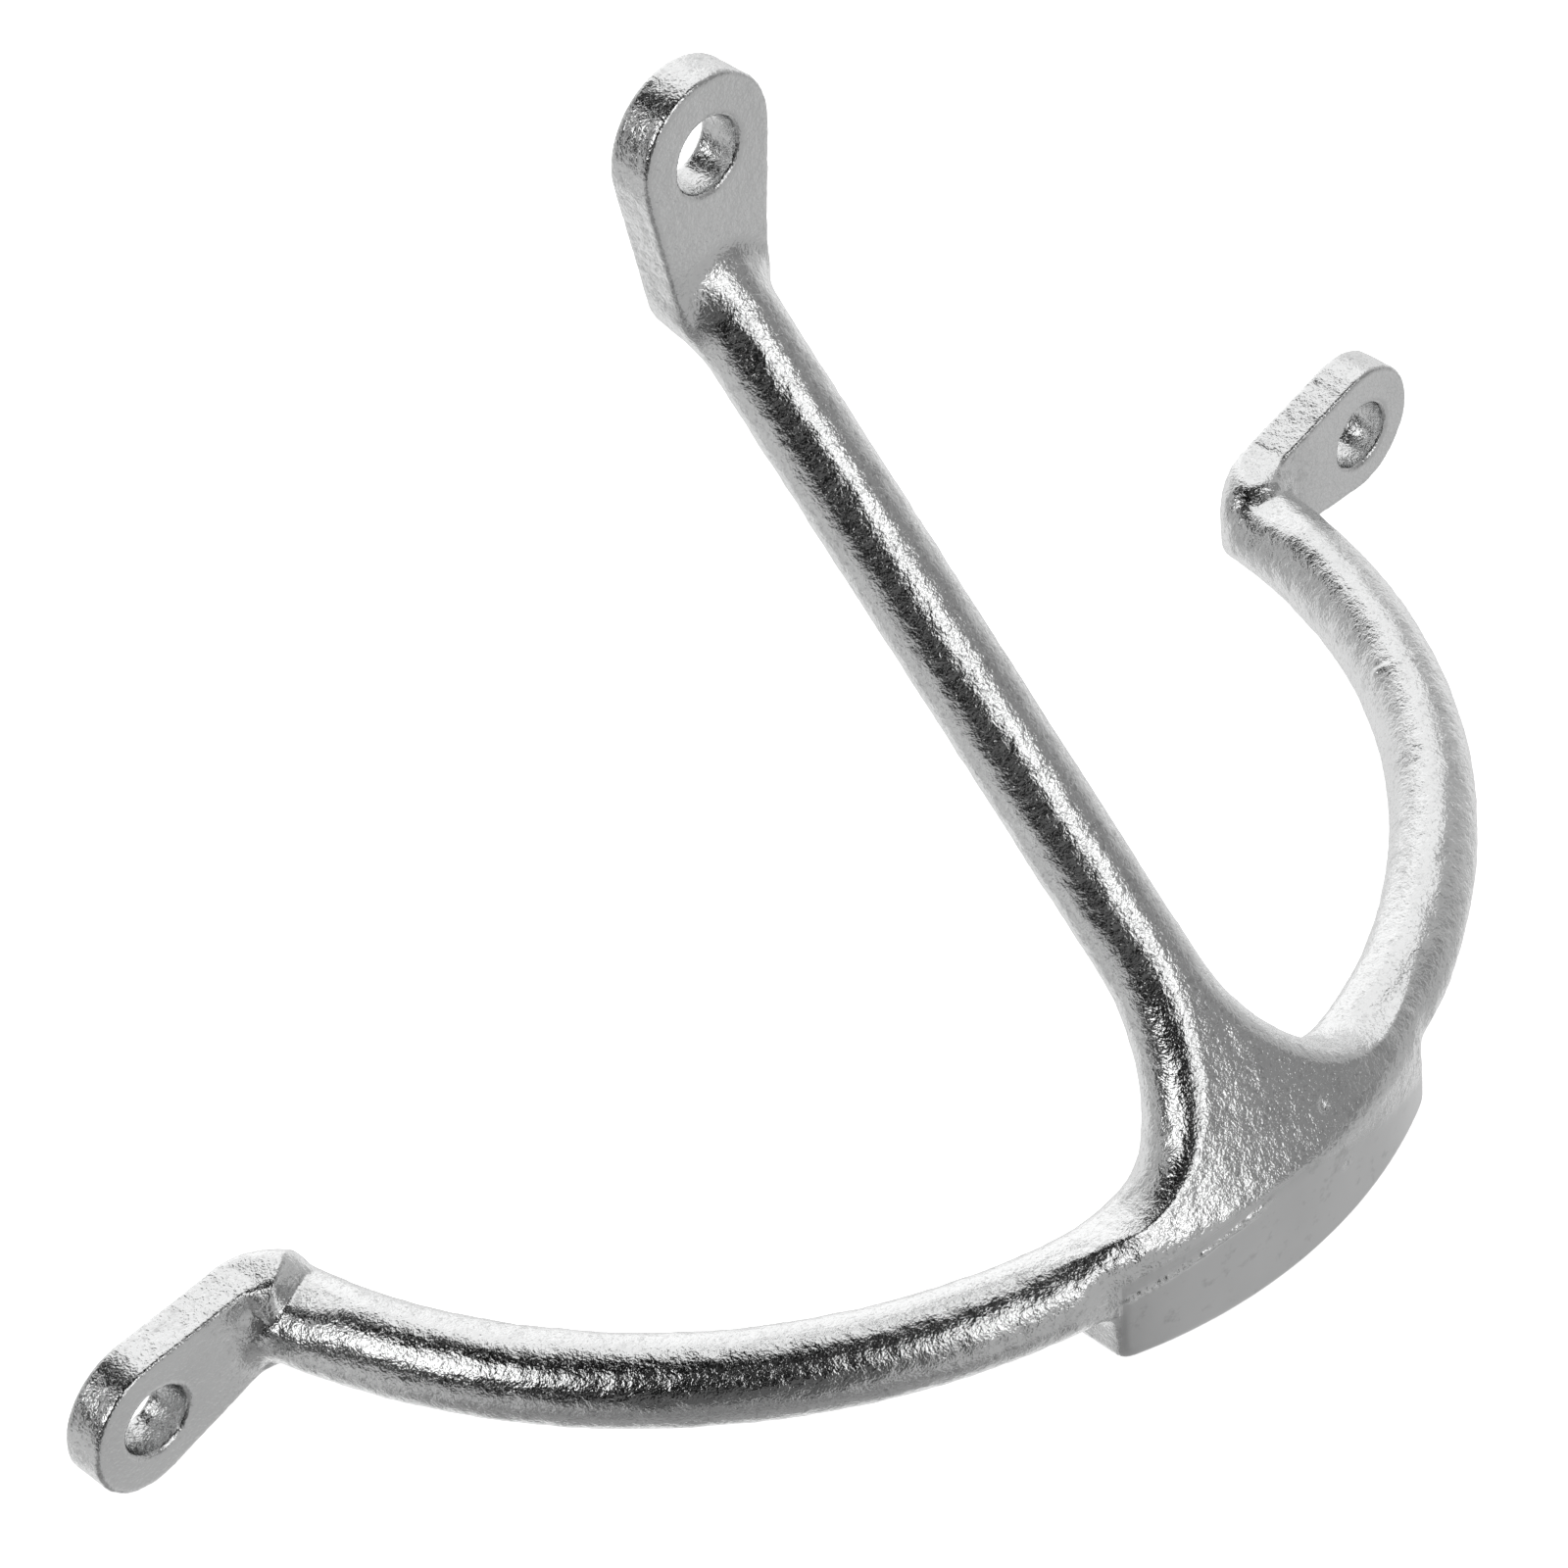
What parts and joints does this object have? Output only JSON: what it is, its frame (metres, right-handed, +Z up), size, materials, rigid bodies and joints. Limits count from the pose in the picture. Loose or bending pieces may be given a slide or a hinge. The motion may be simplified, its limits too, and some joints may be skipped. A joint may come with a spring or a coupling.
{
  "type": "rope cleat horn bracket",
  "caption": "Half-round bow of round bar on two bolted side lugs, held up by a slanted brace to an upper lug, with a flat-bottomed wear pad at the front.",
  "frame": {"origin": "middle of the footprint, at the level of the wear pad's flat underside and the side lugs' lower edges", "axes": "+Z up towards the upper lug, +Y towards the wall behind the lugs, +X to the right for someone facing the wall"},
  "size_m": [0.2, 0.0746, 0.1148],
  "materials": {
    "left_lug": "bright zinc plating over a rough cast skin",
    "left_arm": "bright zinc plating over a rough cast skin",
    "right_lug": "bright zinc plating over a rough cast skin",
    "right_arm": "bright zinc plating over a rough cast skin",
    "upper_lug": "bright zinc plating over a rough cast skin",
    "brace_bar": "bright zinc plating over a rough cast skin",
    "crown": "bright zinc plating over a rough cast skin",
    "wear_pad": "bright zinc plating over a ground, smoother face"
  },
  "bodies": {
    "root": {"left_lug": "left_lug", "left_arm": "left_arm", "right_lug": "right_lug", "right_arm": "right_arm", "upper_lug": "upper_lug", "brace_bar": "brace_bar", "crown": "crown", "wear_pad": "wear_pad"}
  },
  "joints": []
}
